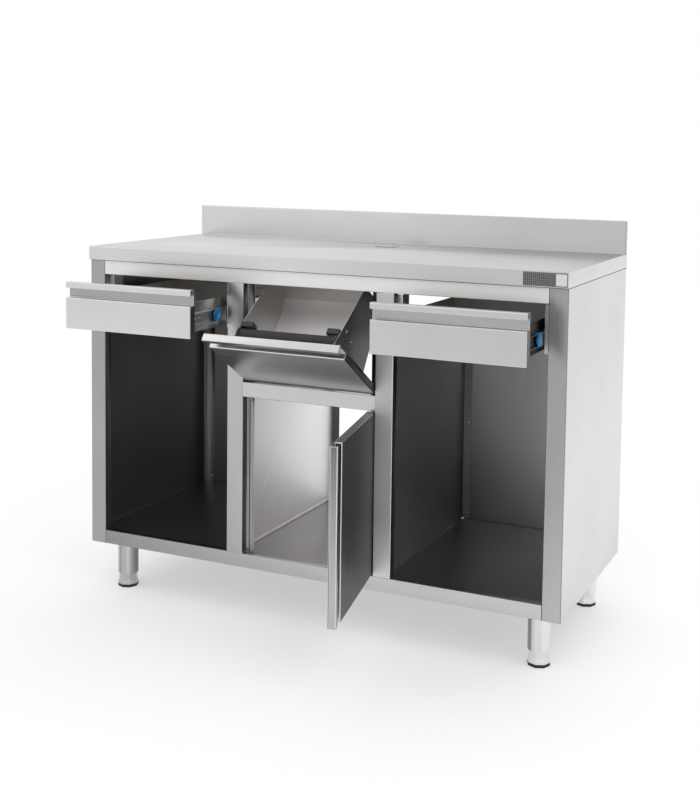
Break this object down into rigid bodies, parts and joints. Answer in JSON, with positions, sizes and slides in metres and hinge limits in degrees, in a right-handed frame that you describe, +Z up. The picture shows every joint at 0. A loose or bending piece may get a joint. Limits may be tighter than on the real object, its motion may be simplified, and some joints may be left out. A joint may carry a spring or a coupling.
{
  "type": "coffee station counter",
  "caption": "Stainless coffee station counter with upstand, drawers on slides, a tilting grounds hopper with knock bar, a hinged door, open bays and levelling legs.",
  "frame": {"origin": "on the floor, under the middle of the counter's bounding box as it stands open", "axes": "+X to the right seen from the front, +Y to the back, +Z up"},
  "size_m": [1.382, 0.959, 1.08],
  "materials": {
    "stainless": "brushed, bright",
    "zinc": "zinc plated",
    "board": "raw particle board",
    "blue_plastic": "moulded",
    "black_rubber": "matt",
    "black_plastic": "moulded",
    "grey_plastic": "moulded",
    "plate_metal": "satin, blank"
  },
  "bodies": {
    "carcass": {"worktop": "stainless", "worktop_core": "board", "cable_grommet": "grey_plastic", "blank_plate": "plate_metal", "top_front_rail": "stainless", "mid_rail": "stainless", "bottom_front_rail": "stainless", "rear_top_rail": "stainless", "base_panel": "stainless", "door_catch": "black_plastic", "door_pivot_bush": "black_plastic", "side_panel_left": "stainless", "centre_post_left": "stainless", "partition_left": "stainless", "back_panel_left": "stainless", "left_drawer_carrier_left": "zinc", "left_drawer_carrier_right": "zinc", "side_panel_right": "stainless", "centre_post_right": "stainless", "partition_right": "stainless", "back_panel_right": "stainless", "right_drawer_carrier_left": "zinc", "right_drawer_carrier_right": "zinc", "front_left_leg": "stainless", "front_right_leg": "stainless", "rear_left_leg": "stainless", "rear_right_leg": "stainless"},
    "left_drawer": {"left_drawer_front": "stainless", "left_drawer_box": "stainless", "left_drawer_slide_inner_left": "zinc", "left_drawer_slide_inner_right": "zinc"},
    "left_middle_slides": {"left_drawer_slide_middle_left": "zinc", "left_drawer_slide_middle_right": "zinc", "left_drawer_slide_clip_left": "blue_plastic", "left_drawer_slide_clip_right": "blue_plastic"},
    "right_drawer": {"right_drawer_front": "stainless", "right_drawer_box": "stainless", "right_drawer_slide_inner_left": "zinc", "right_drawer_slide_inner_right": "zinc"},
    "right_middle_slides": {"right_drawer_slide_middle_left": "zinc", "right_drawer_slide_middle_right": "zinc", "right_drawer_slide_clip_left": "blue_plastic", "right_drawer_slide_clip_right": "blue_plastic"},
    "hopper": {"hopper_front": "stainless", "hopper_bin": "stainless", "knock_bar": "stainless", "knock_bar_sleeve": "black_rubber", "hopper_pivot_rod": "zinc"},
    "door": {"door_skin": "stainless", "door_liner": "stainless", "door_pivot_rod": "zinc"},
    "front_left_levelling_foot": {"front_left_foot": "stainless", "front_left_foot_pad": "black_rubber"},
    "front_right_levelling_foot": {"front_right_foot": "stainless", "front_right_foot_pad": "black_rubber"},
    "rear_left_levelling_foot": {"rear_left_foot": "stainless", "rear_left_foot_pad": "black_rubber"},
    "rear_right_levelling_foot": {"rear_right_foot": "stainless", "rear_right_foot_pad": "black_rubber"}
  },
  "joints": [
    {"name": "left_drawer_slide", "type": "slide", "parent": "carcass", "child": "left_drawer", "axis": [0, -1, 0], "range_m": [-0.175, 0.245]},
    {"name": "left_middle_slide", "type": "slide", "parent": "carcass", "child": "left_middle_slides", "axis": [0, -1, 0], "range_m": [-0.0875, 0.1225]},
    {"name": "right_drawer_slide", "type": "slide", "parent": "carcass", "child": "right_drawer", "axis": [0, -1, 0], "range_m": [-0.153, 0.267]},
    {"name": "right_middle_slide", "type": "slide", "parent": "carcass", "child": "right_middle_slides", "axis": [0, -1, 0], "range_m": [-0.0765, 0.1335]},
    {"name": "hopper_tilt", "type": "hinge", "parent": "carcass", "child": "hopper", "pos_m": [0, -0.10666, 0.655], "axis": [1, 0, 0], "range_deg": [-57, 0]},
    {"name": "door_swing", "type": "hinge", "parent": "carcass", "child": "door", "pos_m": [0.1855, -0.10806, 0.181], "axis": [0, 0, 1], "range_deg": [-102, 8]},
    {"name": "front_left_foot_turn", "type": "hinge", "parent": "carcass", "child": "front_left_levelling_foot", "pos_m": [-0.617, -0.03966, 0], "axis": [0, 0, 1], "continuous": true},
    {"name": "front_right_foot_turn", "type": "hinge", "parent": "carcass", "child": "front_right_levelling_foot", "pos_m": [0.617, -0.03966, 0], "axis": [0, 0, 1], "continuous": true},
    {"name": "rear_left_foot_turn", "type": "hinge", "parent": "carcass", "child": "rear_left_levelling_foot", "pos_m": [-0.617, 0.40934, 0], "axis": [0, 0, 1], "continuous": true},
    {"name": "rear_right_foot_turn", "type": "hinge", "parent": "carcass", "child": "rear_right_levelling_foot", "pos_m": [0.617, 0.40934, 0], "axis": [0, 0, 1], "continuous": true}
  ],
  "couplings": [
    {"joint": "left_middle_slide", "follows": "left_drawer_slide", "ratio": 0.5},
    {"joint": "right_middle_slide", "follows": "right_drawer_slide", "ratio": 0.5}
  ]
}
